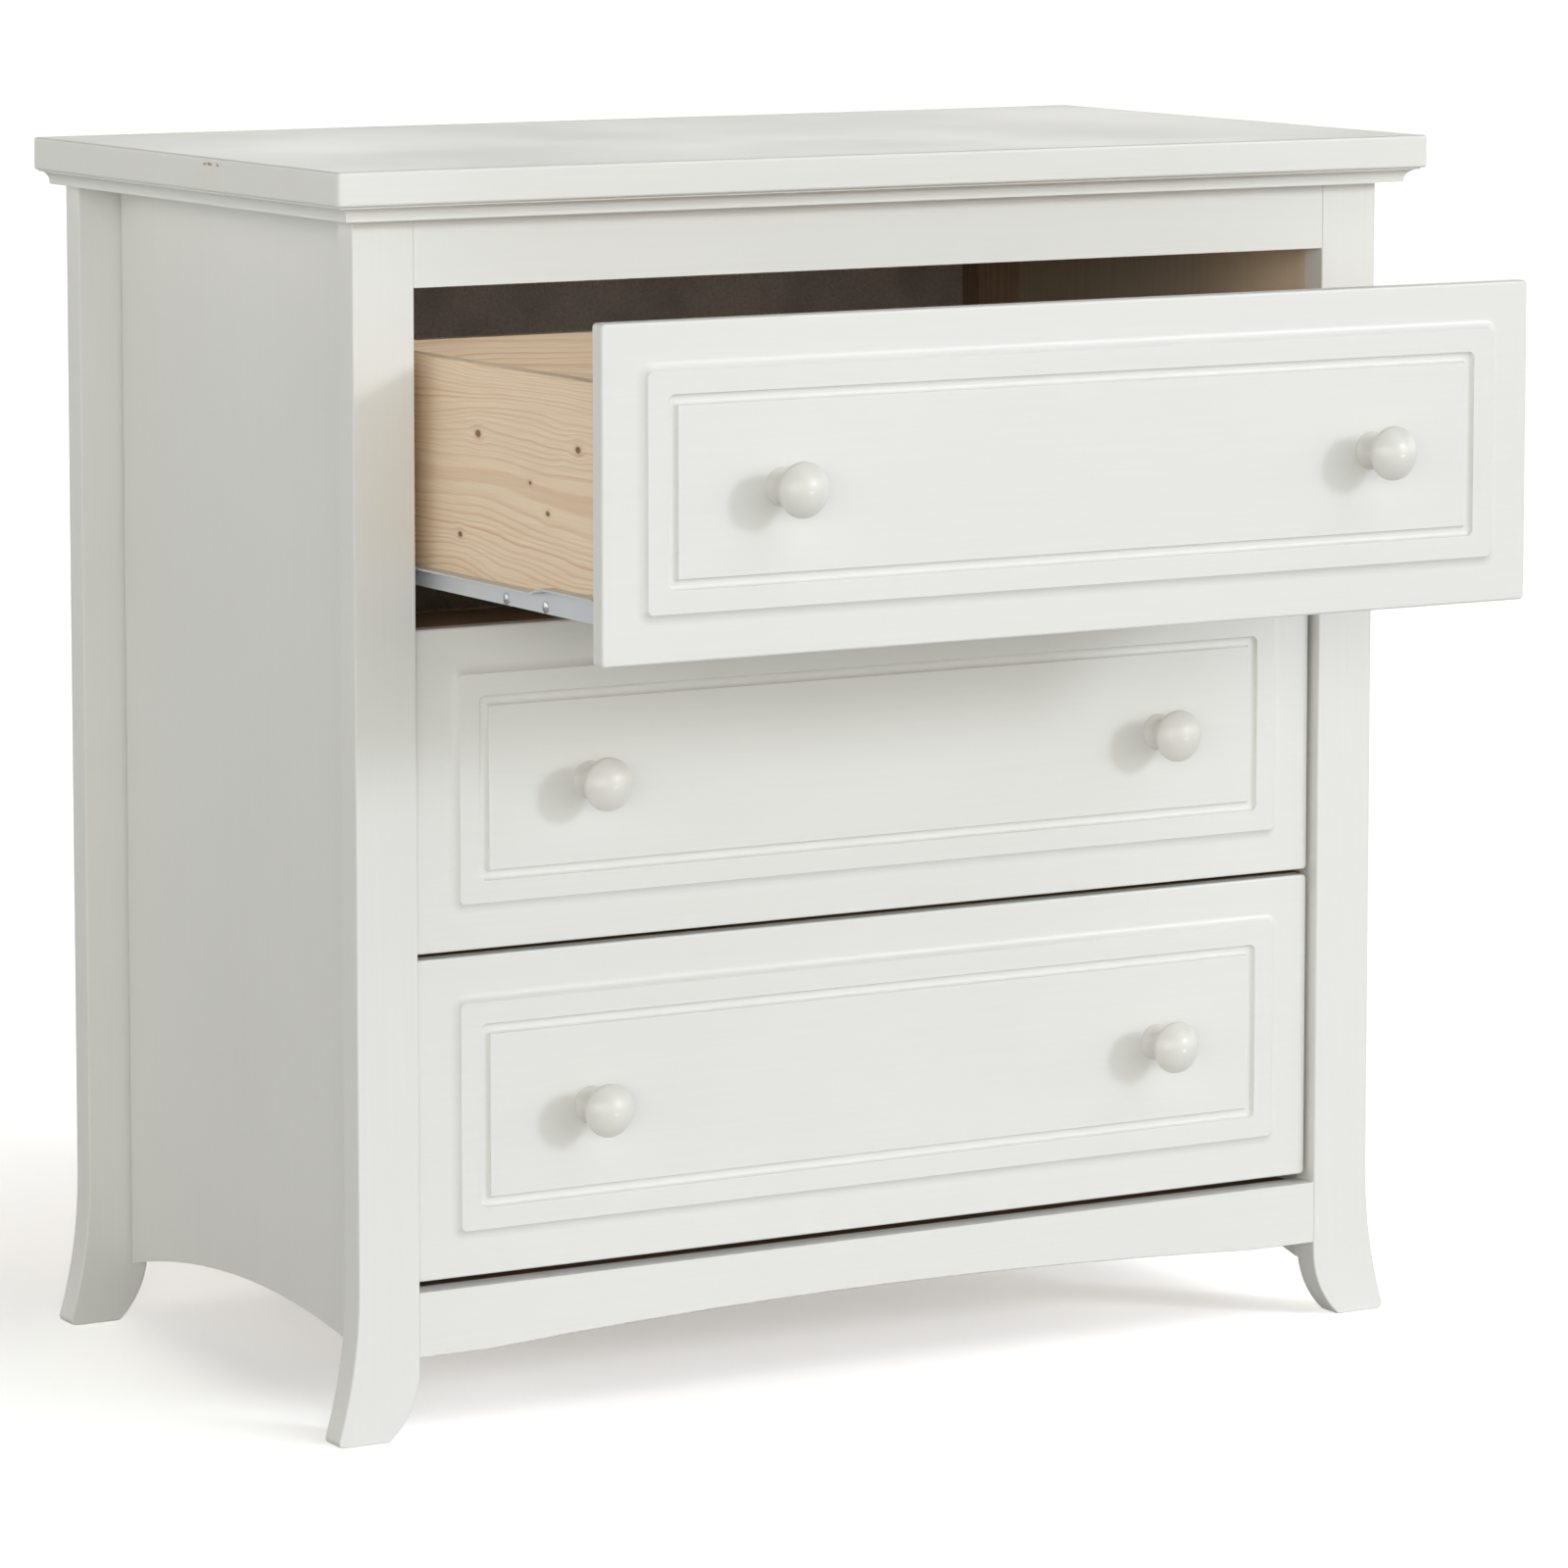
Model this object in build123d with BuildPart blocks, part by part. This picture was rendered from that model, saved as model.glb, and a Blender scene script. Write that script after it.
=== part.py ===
from build123d import *
from math import asin, atan, degrees, tan
import os

# ---------------------------------------------------------------------------
# Three-drawer dresser with sabre feet and roller drawer slides.
# Millimetres, +Z up.  The front faces -Y, the left end is -X, the floor is Z = 0.
# The top drawer stands open by drawer_opening; the lower two are closed.
# Depths are counted backwards from the front faces of the front legs.
# ---------------------------------------------------------------------------

os.makedirs("parts", exist_ok=True)

# Top and cornice
total_height = 860.0
top_width = 872.0
top_thickness = 23.3
top_overhang = 29.5
top_corner_radius = 3.0
top_edge_radius = 2.0
cornice_height = 10.7
cornice_inset = 4.0
cornice_nib = 1.3
cove_run = 8.5

# Carcass
body_depth = 452.0
leg_spread = 822.0
leg_width = 46.0
leg_thickness = 22.0
leg_edge_radius = 1.3
foot_spread = 856.0
foot_width = 40.0
foot_heel_radius = 4.0
foot_toe_radius = 4.0
outer_flare_height = 108.0
inner_flare_height = 50.0
side_thickness = 15.0
side_edge_radius = 6.0
side_foot_height = 41.0
side_arch_height = 66.5
rail_thickness = 19.0
rail_setback = 0.6
rail_height = 46.4
apron_top = 100.0
apron_height = 44.5
apron_rise = 9.5
apron_flat = 55.0
apron_edge_radius = 1.0
batten_width = 36.0
batten_thickness = 24.0
batten_foot = 60.0
back_rail_height = 40.0
back_panel_thickness = 3.0
back_panel_gap = 0.5
divider_depth = 68.0
divider_thickness = 18.0
bottom_stretcher_drop = 4.0

# Drawer fronts
drawer_width = 724.0
drawer_height = 220.0
drawer_gap = 4.0
lowest_drawer = 105.5
drawer_opening = 260.0
front_thickness = 15.0
front_back_depth = 20.0
front_corner_radius = 3.0
front_edge_radius = 1.8
border_width = 25.0
border_recess = 3.5
cove_width = 7.0
raised_corner_radius = 3.5
groove_inset = 47.0
groove_width = 7.0
groove_depth = 3.0
groove_outer_corner = 4.5
groove_inner_corner = 0.6
groove_floor_radius = 2.8
crisp_radius = 0.5

# Drawer boxes
box_width = 704.0
box_depth = 370.0
box_rise = 26.0
box_height = 154.0
box_board = 12.0
box_edge_radius = 0.8
bottom_thickness = 3.0
bottom_rise = 10.0
bottom_tongue = 6.0
bottom_front_tongue = 5.0
groove_clearance = 0.2

# Knobs
knob_spacing = 461.0
knob_projection = 36.5
knob_head_radius = 18.4
knob_head_thickness = 21.0
knob_rim_radius = 3.5
knob_foot_radius = 12.9
knob_foot_edge = 1.2
knob_neck_radius = 9.0
knob_neck_height = 9.5
knob_flare_middle = (10.2, 4.6)
knob_screw_depth = 12.0

# Drawer slides: heights are above the bottom edge of the drawer front
sheet = 1.2
slide_length = 350.0
drawer_rail_start = 21.0
cabinet_rail_start = 24.0
flange_reach = 9.0
flange_underside = 37.4
flange_lift = 4.0
lift_length = 70.0
ramp_length = 16.0
shelf_reach = 7.0
channel_floor = 19.8
channel_ceiling = 40.6
channel_lip = 9.2
ceiling_start = 92.0
stop_height = 5.0
stop_thickness = 1.5
roller_radius = 8.5
roller_edge_radius = 0.6
roller_width = 7.0
roller_height = 28.6
roller_end_distance = 12.0
roller_side_gap = 0.8
roller_running_gap = 0.3
axle_radius = 2.5
axle_clearance = 0.06
axle_head_radius = 4.0
axle_head_height = 1.2
axle_head_gap = 0.2

# Fasteners
screw_radius = 1.75
screw_length = 9.5
screw_clearance = 0.05
screw_head_radius = 4.0
screw_head_height = 1.6
cross_length = 4.4
cross_width = 0.9
cross_depth = 0.9
knob_screw_radius = 2.0
knob_screw_head_height = 2.4
drawer_screw_places = (79.0, 133.0, 300.0)
drawer_screw_height = 29.0
cabinet_screw_places = (44.0, 300.0)
cabinet_screw_height = 30.2

# Worked-out places
knob_reach = drawer_opening + knob_projection - (front_back_depth - front_thickness)
front_y = (knob_reach - body_depth) / 2
rear_y = front_y + body_depth
leg_rear_y = front_y + leg_thickness
rear_leg_y = rear_y - leg_thickness
slab_underside = total_height - top_thickness
post_top = slab_underside - cornice_height
leg_outer = leg_spread / 2
leg_inner = leg_outer - leg_width
drawer_pitch = drawer_height + drawer_gap
box_side = box_width / 2
flange_outer = box_side + sheet
web_inner = leg_inner - sheet

# Drawer name, height of the bottom edge of its front, and how far it stands open
drawers = (
    ("top", lowest_drawer + 2 * drawer_pitch, drawer_opening),
    ("middle", lowest_drawer + drawer_pitch, 0.0),
    ("bottom", lowest_drawer, 0.0),
)
sides = (("left", -1), ("right", 1))


def facing_front(y):
    """Vertical plane at y, facing the front: local x is +X and local y is +Z."""
    return Plane.XZ.offset(-y)


def facing_side(x):
    """Vertical plane at x, facing +X: local x is +Y and local y is +Z."""
    return Plane.YZ.offset(x)


def outward_plane(origin, outward, upward=(0, 0, 1)):
    """Section plane whose local x is the outward direction and whose local y is upward."""
    return Plane(origin=origin, x_dir=outward, z_dir=Vector(outward).cross(Vector(upward)))


def at_depth(edges, y):
    """The edges that lie in the vertical plane at y."""
    return edges.filter_by_position(Axis.Y, y - 0.01, y + 0.01)


def save(piece, name):
    """Label one finished piece and write it to its own file."""
    piece.part.label = name
    export_step(piece.part, f"parts/{name}.step")


def make_board(name, x_span, y_span, z_span, edge_radius=0.0):
    """A rectangular board between the given limits, with softened edges if asked for."""
    with BuildPart() as board:
        with BuildSketch(Plane.XY.offset(z_span[0])):
            with Locations((sum(x_span) / 2, sum(y_span) / 2)):
                Rectangle(x_span[1] - x_span[0], y_span[1] - y_span[0])
        extrude(amount=z_span[1] - z_span[0])
        if edge_radius:
            fillet(board.edges(), edge_radius)
    save(board, name)


# ---------------------------------------------------------------------------
# Top and cornice
# ---------------------------------------------------------------------------

def make_top_panel():
    """The top slab, with softened corners and edges."""
    with BuildPart() as slab:
        with BuildSketch(Plane.XY.offset(slab_underside)):
            with Locations((0, (front_y - top_overhang + rear_y) / 2)):
                Rectangle(top_width, body_depth + top_overhang)
        extrude(amount=top_thickness)
        fillet(slab.edges().filter_by(Axis.Z), top_corner_radius)
        fillet(slab.faces().sort_by(Axis.Z)[-1].edges(), top_edge_radius)
        fillet(slab.faces().sort_by(Axis.Z)[0].edges(), top_edge_radius)
    save(slab, "top_panel")


cornice_front_y = front_y - top_overhang + cornice_inset
cornice_outer_x = top_width / 2 - cornice_inset
cornice_width = cornice_outer_x - leg_inner
cornice_foot = cornice_width - cove_run


def make_cornice(name, origin, outward, length, mitres):
    """One length of cove moulding under the slab.  Each mitre is a corner side and a cut normal."""
    with BuildPart() as moulding:
        with BuildSketch(outward_plane(origin, outward)):
            with BuildLine():
                Polyline((cornice_foot, cornice_nib), (cornice_foot, 0), (0, 0), (0, cornice_height),
                         (cornice_width, cornice_height), (cornice_width, cornice_height - cornice_nib))
                TangentArc((cornice_foot, cornice_nib), (cornice_width, cornice_height - cornice_nib),
                           tangent=(0, 1))
            make_face()
        extrude(amount=length)
        for side, normal in mitres:
            corner = (side * cornice_outer_x, cornice_front_y, post_top)
            split(bisect_by=Plane(corner, z_dir=normal), keep=Keep.TOP)
    save(moulding, name)


def make_cornices():
    """Front and side mouldings, mitred at the two front corners."""
    inner_y = cornice_front_y + cornice_width
    make_cornice("cornice_front", (cornice_outer_x, inner_y, post_top), (0, -1, 0), 2 * cornice_outer_x,
                 ((-1, (1, -1, 0)), (1, (-1, -1, 0))))
    side_length = rear_y - cornice_front_y
    make_cornice("cornice_left", (-leg_inner, cornice_front_y, post_top), (-1, 0, 0), side_length,
                 ((-1, (-1, 1, 0)),))
    make_cornice("cornice_right", (leg_inner, rear_y, post_top), (1, 0, 0), side_length,
                 ((1, (1, 1, 0)),))


# ---------------------------------------------------------------------------
# Legs, panels and rails
# ---------------------------------------------------------------------------

def make_leg(name, side, y):
    """One leg board: a straight post that sweeps outwards into a sabre foot."""
    heel_x = side * foot_spread / 2
    toe_x = side * (foot_spread / 2 - foot_width)
    with BuildPart() as leg:
        with BuildSketch(facing_front(y + leg_thickness)):
            with BuildLine():
                Polyline((side * leg_inner, inner_flare_height), (side * leg_inner, post_top),
                         (side * leg_outer, post_top), (side * leg_outer, outer_flare_height))
                TangentArc((side * leg_outer, outer_flare_height), (heel_x, 0), tangent=(0, -1))
                Line((heel_x, 0), (toe_x, 0))
                TangentArc((side * leg_inner, inner_flare_height), (toe_x, 0), tangent=(0, -1))
            make_face()
        extrude(amount=leg_thickness)
        ground_corners = leg.edges().filter_by(Axis.Y).group_by(Axis.Z)[0]
        toe, heel = ground_corners.sort_by(lambda edge: abs(edge.center().X))
        fillet(heel, foot_heel_radius)
        fillet(toe, foot_toe_radius)
        for depth in (y, y + leg_thickness):
            outline = at_depth(leg.edges(), depth)
            fillet(outline.filter_by(lambda edge: edge.center().Z < post_top - 1), leg_edge_radius)
    save(leg, name)


def make_side_panel(name, side):
    """Side panel between the front and rear legs, arched along its bottom edge."""
    screw_places = [
        (front_y + cabinet_rail_start + place, height + cabinet_screw_height)
        for _, height, _ in drawers for place in cabinet_screw_places
    ]
    with BuildPart() as panel:
        with BuildSketch(facing_side(side * leg_inner)):
            with BuildLine():
                Polyline((leg_rear_y, side_foot_height), (leg_rear_y, post_top),
                         (rear_leg_y, post_top), (rear_leg_y, side_foot_height))
                ThreePointArc((leg_rear_y, side_foot_height), ((leg_rear_y + rear_leg_y) / 2, side_arch_height),
                              (rear_leg_y, side_foot_height))
            make_face()
        extrude(amount=side * side_thickness)
        with BuildSketch(facing_side(side * leg_inner)):
            with Locations(*screw_places):
                Circle(screw_radius + screw_clearance)
        extrude(amount=side * (screw_length + 1), mode=Mode.SUBTRACT)
        outer_x = side * (leg_inner + side_thickness)
        outer_edges = panel.edges().filter_by(Axis.Z).filter_by_position(Axis.X, outer_x - 0.01, outer_x + 0.01)
        fillet(outer_edges.sort_by(Axis.Y)[-1], side_edge_radius)
    save(panel, name)


def make_front_apron():
    """Rail under the lowest drawer, with a shallow arch along its bottom edge."""
    bottom = apron_top - apron_height
    arch_end = leg_inner - apron_flat
    with BuildPart() as apron:
        with BuildSketch(facing_front(front_y + rail_setback + rail_thickness)):
            with BuildLine():
                Polyline((-arch_end, bottom), (-leg_inner, bottom), (-leg_inner, apron_top),
                         (leg_inner, apron_top), (leg_inner, bottom), (arch_end, bottom))
                ThreePointArc((-arch_end, bottom), (0, bottom + apron_rise), (arch_end, bottom))
            make_face()
        extrude(amount=rail_thickness)
        front_face = apron.faces().sort_by(Axis.Y)[0]
        fillet(front_face.edges().filter_by(GeomType.CIRCLE), apron_edge_radius)
    save(apron, "front_apron")


def make_carcass_boards():
    """The plain boards: rails, drawer dividers, rear battens and the back panel."""
    inside = (-leg_inner, leg_inner)
    rail_y = (front_y + rail_setback, front_y + rail_setback + rail_thickness)
    make_board("top_front_rail", inside, rail_y, (post_top - rail_height, post_top))
    divider_tops = {
        "upper_drawer_divider": drawers[0][1] - drawer_gap,
        "lower_drawer_divider": drawers[1][1] - drawer_gap,
        "bottom_stretcher": apron_top - bottom_stretcher_drop,
    }
    for name, top in divider_tops.items():
        make_board(name, inside, (leg_rear_y, leg_rear_y + divider_depth), (top - divider_thickness, top))
    batten_y = (rear_leg_y - batten_thickness, rear_leg_y)
    batten_inner = leg_inner - batten_width
    make_board("rear_left_batten", (-leg_inner, -batten_inner), batten_y, (batten_foot, slab_underside))
    make_board("rear_right_batten", (batten_inner, leg_inner), batten_y, (batten_foot, slab_underside))
    make_board("top_back_rail", (-batten_inner, batten_inner), batten_y,
               (slab_underside - back_rail_height, slab_underside))
    make_board("bottom_back_rail", (-batten_inner, batten_inner), batten_y,
               (batten_foot, batten_foot + back_rail_height))
    make_board("back_panel", (back_panel_gap - leg_inner, leg_inner - back_panel_gap),
               (rear_leg_y, rear_leg_y + back_panel_thickness), (batten_foot, slab_underside - back_panel_gap))


# ---------------------------------------------------------------------------
# Screws, shared by the slides and the knobs
# ---------------------------------------------------------------------------

def make_screws(name, places, shank_radius, length, head_height):
    """Pan-head screws with a cross recess.  Each place is a point under the head and the way it faces."""
    with BuildPart() as screws:
        for origin, outward in places:
            with BuildSketch(outward_plane(origin, (0, 0, 1), outward)):
                with BuildLine():
                    Polyline((0, head_height), (0, -length), (shank_radius, -length), (shank_radius, 0),
                             (screw_head_radius, 0), (screw_head_radius, head_height / 3))
                    TangentArc((0, head_height), (screw_head_radius, head_height / 3), tangent=(1, 0))
                make_face()
            revolve(axis=Axis(origin, outward))
            with BuildSketch(Plane(origin=origin, z_dir=outward).offset(head_height)):
                Rectangle(cross_length, cross_width)
                Rectangle(cross_width, cross_length)
            extrude(amount=-cross_depth, mode=Mode.SUBTRACT)
    save(screws, name)


# ---------------------------------------------------------------------------
# Drawer fronts, knobs and boxes
# ---------------------------------------------------------------------------

cove_angle = 2 * atan(border_recess / cove_width)
rim_run = border_recess / tan(cove_angle)
rim_inset = border_width + cove_width - rim_run
cove_radius = 0.95 * (cove_width - rim_run) / tan(cove_angle / 2)
knob_places = (-knob_spacing / 2, knob_spacing / 2)


def make_drawer_front(name, z, opening):
    """Front board: a milled border, a cove up to the raised panel and a routed groove in it."""
    back = front_y + front_back_depth - opening
    face = back - front_thickness
    border = face + border_recess
    centre = (0, z + drawer_height / 2)
    with BuildPart() as front:
        with BuildSketch(facing_front(back)):
            with Locations(centre):
                Rectangle(drawer_width, drawer_height)
        extrude(amount=front_thickness - border_recess)
        fillet(front.edges().filter_by(Axis.Y), front_corner_radius)
        fillet(at_depth(front.edges(), border), front_edge_radius)

        # The raised panel is a tapered slab, and the fillet at its foot is the cove.
        with BuildSketch(facing_front(border)):
            with Locations(centre):
                RectangleRounded(drawer_width - 2 * rim_inset, drawer_height - 2 * rim_inset,
                                 raised_corner_radius + rim_run)
        extrude(amount=border_recess, taper=90 - degrees(cove_angle))
        new_edges = at_depth(front.edges(Select.LAST), border)
        fillet(new_edges, cove_radius)

        with BuildSketch(facing_front(face)):
            with Locations(centre):
                RectangleRounded(drawer_width - 2 * groove_inset, drawer_height - 2 * groove_inset,
                                 groove_outer_corner)
                island_inset = groove_inset + groove_width
                RectangleRounded(drawer_width - 2 * island_inset, drawer_height - 2 * island_inset,
                                 groove_inner_corner, mode=Mode.SUBTRACT)
        extrude(amount=-groove_depth, mode=Mode.SUBTRACT)
        fillet(at_depth(front.edges(Select.LAST), face + groove_depth), groove_floor_radius)
        fillet(at_depth(front.edges(), face), crisp_radius)

        # Behind: the slot for the bottom board and the two holes for the knob screws.
        with BuildSketch(facing_front(back)):
            with Locations((0, z + box_rise + bottom_rise + bottom_thickness / 2)):
                Rectangle(box_width - 2 * (box_board - bottom_tongue) + 2 * groove_clearance,
                          bottom_thickness + 2 * groove_clearance)
        extrude(amount=bottom_front_tongue + groove_clearance, mode=Mode.SUBTRACT)
        with BuildSketch(facing_front(back)):
            with Locations(*[(x, z + drawer_height / 2) for x in knob_places]):
                Circle(knob_screw_radius + screw_clearance)
        extrude(amount=front_thickness, mode=Mode.SUBTRACT)
    save(front, f"{name}_drawer_front")


def make_knobs(name, z, opening):
    """The pair of turned knobs: a flared foot, a short neck and a flattened ball."""
    face = front_y + front_back_depth - front_thickness - opening
    height = z + drawer_height / 2
    ball_half = knob_head_thickness / 2
    rim_centre = knob_head_radius - knob_rim_radius
    crown_radius = (rim_centre ** 2 + ball_half ** 2 - knob_rim_radius ** 2) / (2 * (ball_half - knob_rim_radius))
    crown_angle = degrees(asin(rim_centre / (crown_radius - knob_rim_radius)))
    neck_angle = degrees(asin(knob_neck_radius / crown_radius))
    with BuildPart() as knobs:
        for x in knob_places:
            origin = (x, face, height)
            with BuildSketch(outward_plane(origin, (1, 0, 0), (0, -1, 0))):
                with BuildLine():
                    crown = JernArc((0, knob_projection), (1, 0), crown_radius, -crown_angle)
                    rim = JernArc(crown @ 1, crown % 1, knob_rim_radius, 2 * crown_angle - 180)
                    under = JernArc(rim @ 1, rim % 1, crown_radius, neck_angle - crown_angle)
                    Line(under @ 1, (knob_neck_radius, knob_neck_height))
                    ThreePointArc((knob_neck_radius, knob_neck_height), knob_flare_middle,
                                  (knob_foot_radius, knob_foot_edge))
                    Polyline((knob_foot_radius, knob_foot_edge), (knob_foot_radius, 0), (0, 0), crown @ 0)
                make_face()
            revolve(axis=Axis(origin, (0, -1, 0)))
        with BuildSketch(facing_front(face)):
            with Locations(*[(x, height) for x in knob_places]):
                Circle(knob_screw_radius + screw_clearance)
        extrude(amount=knob_screw_depth + 1, mode=Mode.SUBTRACT)
    save(knobs, f"{name}_drawer_knobs")


def make_knob_screws(name, z, opening):
    """Two machine screws through the front board into the knobs."""
    back = front_y + front_back_depth - opening
    places = [((x, back, z + drawer_height / 2), (0, 1, 0)) for x in knob_places]
    make_screws(f"{name}_drawer_knob_screws", places, knob_screw_radius,
                front_thickness + knob_screw_depth, knob_screw_head_height)


def make_drawer_box(name, z, opening):
    """Two pine sides, a pine back and a thin bottom that sits in grooves."""
    start = front_y + front_back_depth - opening
    end = start + box_depth
    floor = z + box_rise
    slot = floor + bottom_rise
    screw_places = [
        (front_y + drawer_rail_start - opening + place, z + drawer_screw_height)
        for place in drawer_screw_places
    ]
    for word, side in sides:
        with BuildPart() as board:
            with BuildSketch(facing_side(side * (box_side - box_board))):
                with Locations(((start + end) / 2, floor + box_height / 2)):
                    Rectangle(box_depth, box_height)
            extrude(amount=side * box_board)
            fillet(board.edges().filter_by(Axis.Y).group_by(Axis.Z)[-1], box_edge_radius)
            with BuildSketch(facing_side(side * (box_side - box_board))):
                with Locations(((start + end) / 2, slot + bottom_thickness / 2)):
                    Rectangle(box_depth, bottom_thickness + 2 * groove_clearance)
            extrude(amount=side * (bottom_tongue + groove_clearance), mode=Mode.SUBTRACT)
            with BuildSketch(facing_side(side * box_side)):
                with Locations(*screw_places):
                    Circle(screw_radius + screw_clearance)
            extrude(amount=-side * screw_length, mode=Mode.SUBTRACT)
        save(board, f"{name}_drawer_{word}_side")

    back_half = box_side - box_board
    make_board(f"{name}_drawer_back", (-back_half, back_half), (end - box_board, end),
               (slot + bottom_thickness + groove_clearance, floor + box_height))
    bottom_half = back_half + bottom_tongue
    make_board(f"{name}_drawer_bottom", (-bottom_half, bottom_half), (start - bottom_front_tongue, end),
               (slot, slot + bottom_thickness))


# ---------------------------------------------------------------------------
# Roller slides
# ---------------------------------------------------------------------------

rear_axle_distance = slide_length - roller_end_distance
rear_roller_inner = flange_outer + roller_side_gap
front_roller_inner = web_inner - roller_side_gap - roller_width
head_pocket = axle_head_height + axle_head_gap


def make_drawer_rails(name, z, opening):
    """Left and right drawer rails: a shelf under the side, an upright flange and a running flange."""
    start = front_y + drawer_rail_start - opening
    end = start + slide_length
    lift_end = start + lift_length
    foot = z + box_rise - sheet
    low = z + flange_underside
    high = low + flange_lift
    axle_place = (start + rear_axle_distance, z + roller_height)
    screw_places = [(start + place, z + drawer_screw_height) for place in drawer_screw_places]
    for word, side in sides:
        with BuildPart() as rail:
            with BuildSketch(facing_side(side * box_side)):
                with BuildLine():
                    Polyline((start, foot), (end, foot), (end, low + sheet), (lift_end + ramp_length, low + sheet),
                             (lift_end, high + sheet), (start, high + sheet), close=True)
                make_face()
                with Locations(*screw_places):
                    Circle(screw_radius + screw_clearance, mode=Mode.SUBTRACT)
            extrude(amount=side * sheet)
            with BuildSketch(facing_side(side * flange_outer)):
                with BuildLine():
                    Polyline((start, high), (lift_end, high), (lift_end + ramp_length, low), (end, low),
                             (end, low + sheet), (lift_end + ramp_length, low + sheet),
                             (lift_end, high + sheet), (start, high + sheet), close=True)
                make_face()
            extrude(amount=side * flange_reach)
            with BuildSketch(Plane.XY.offset(foot)):
                with Locations((side * (box_side - shelf_reach / 2), (start + end) / 2)):
                    Rectangle(shelf_reach, slide_length)
            extrude(amount=sheet)
            with BuildSketch(facing_side(side * flange_outer)):
                with Locations(axle_place):
                    Circle(axle_radius)
            extrude(amount=side * (roller_side_gap + roller_width))
            with BuildSketch(facing_side(side * (rear_roller_inner + roller_width))):
                with Locations(axle_place):
                    Circle(axle_head_radius)
            extrude(amount=-side * axle_head_height)
        save(rail, f"{name}_drawer_{word}_rail")

    places = [((side * flange_outer, y, height), (side, 0, 0)) for _, side in sides for y, height in screw_places]
    make_screws(f"{name}_drawer_rail_screws", places, screw_radius, screw_length, screw_head_height)


def make_cabinet_rails(name, z):
    """The pair of channels on the side panels, with front axles and a stop for the open drawer."""
    start = front_y + cabinet_rail_start
    end = start + slide_length
    floor = z + channel_floor
    ceiling = z + channel_ceiling
    axle_place = (start + roller_end_distance, z + roller_height)
    open_roller_y = front_y + drawer_rail_start + rear_axle_distance - drawer_opening
    stop_y = open_roller_y - roller_radius - roller_running_gap
    with BuildPart() as rails:
        for _, side in sides:
            with BuildSketch(facing_side(side * leg_inner)):
                with Locations(((start + end) / 2, (floor + ceiling) / 2)):
                    Rectangle(slide_length, ceiling - floor + 2 * sheet)
                with Locations(*[(start + place, z + cabinet_screw_height) for place in cabinet_screw_places]):
                    Circle(screw_radius + screw_clearance, mode=Mode.SUBTRACT)
            extrude(amount=-side * sheet)
            with BuildSketch(facing_side(side * web_inner)):
                with Locations(((start + end) / 2, floor - sheet / 2)):
                    Rectangle(slide_length, sheet)
                with Locations(((start + ceiling_start + end) / 2, ceiling + sheet / 2)):
                    Rectangle(slide_length - ceiling_start, sheet)
            extrude(amount=-side * channel_lip)
            with BuildSketch(facing_side(side * web_inner)):
                with Locations((stop_y - stop_thickness / 2, floor + stop_height / 2)):
                    Rectangle(stop_thickness, stop_height)
            extrude(amount=-side * roller_width)
            with BuildSketch(facing_side(side * web_inner)):
                with Locations(axle_place):
                    Circle(axle_radius)
            extrude(amount=-side * (roller_side_gap + roller_width))
            with BuildSketch(facing_side(side * front_roller_inner)):
                with Locations(axle_place):
                    Circle(axle_head_radius)
            extrude(amount=side * axle_head_height)
    save(rails, f"{name}_cabinet_rails")


def make_rollers(name, inner_x, y, height, head_outward):
    """A pair of nylon rollers, bored for their axles and pocketed for the axle heads."""
    with BuildPart() as rollers:
        for _, side in sides:
            with BuildSketch(facing_side(side * inner_x)):
                with Locations((y, height)):
                    Circle(roller_radius)
            extrude(amount=side * roller_width)
        fillet(rollers.edges().filter_by(GeomType.CIRCLE), roller_edge_radius)
        for _, side in sides:
            with BuildSketch(facing_side(side * inner_x)):
                with Locations((y, height)):
                    Circle(axle_radius + axle_clearance)
            extrude(amount=side * roller_width, mode=Mode.SUBTRACT)
            pocket_x = inner_x + roller_width if head_outward else inner_x
            with BuildSketch(facing_side(side * pocket_x)):
                with Locations((y, height)):
                    Circle(axle_head_radius + axle_head_gap)
            extrude(amount=(-side if head_outward else side) * head_pocket, mode=Mode.SUBTRACT)
    save(rollers, name)


def make_slide_rollers(name, z, opening):
    """Rollers that turn on the cabinet rails at the front and on the drawer rails at the rear."""
    height = z + roller_height
    make_rollers(f"{name}_front_rollers", front_roller_inner,
                 front_y + cabinet_rail_start + roller_end_distance, height, head_outward=False)
    make_rollers(f"{name}_rear_rollers", rear_roller_inner,
                 front_y + drawer_rail_start - opening + rear_axle_distance, height, head_outward=True)


def make_cabinet_rail_screws():
    """The screws that hold the channels to the side panels."""
    places = [
        ((side * web_inner, front_y + cabinet_rail_start + place, height + cabinet_screw_height), (-side, 0, 0))
        for _, height, _ in drawers for _, side in sides for place in cabinet_screw_places
    ]
    make_screws("cabinet_rail_screws", places, screw_radius, screw_length, screw_head_height)


# ---------------------------------------------------------------------------
# The whole dresser
# ---------------------------------------------------------------------------

make_top_panel()
make_cornices()
for side_word, side_sign in sides:
    make_leg(f"front_{side_word}_leg", side_sign, front_y)
    make_leg(f"rear_{side_word}_leg", side_sign, rear_leg_y)
    make_side_panel(f"{side_word}_side_panel", side_sign)
make_front_apron()
make_carcass_boards()
make_cabinet_rail_screws()
for drawer_name, drawer_z, drawer_open in drawers:
    make_cabinet_rails(drawer_name, drawer_z)
    make_slide_rollers(drawer_name, drawer_z, drawer_open)
    make_drawer_front(drawer_name, drawer_z, drawer_open)
    make_knobs(drawer_name, drawer_z, drawer_open)
    make_knob_screws(drawer_name, drawer_z, drawer_open)
    make_drawer_box(drawer_name, drawer_z, drawer_open)
    make_drawer_rails(drawer_name, drawer_z, drawer_open)
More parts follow.
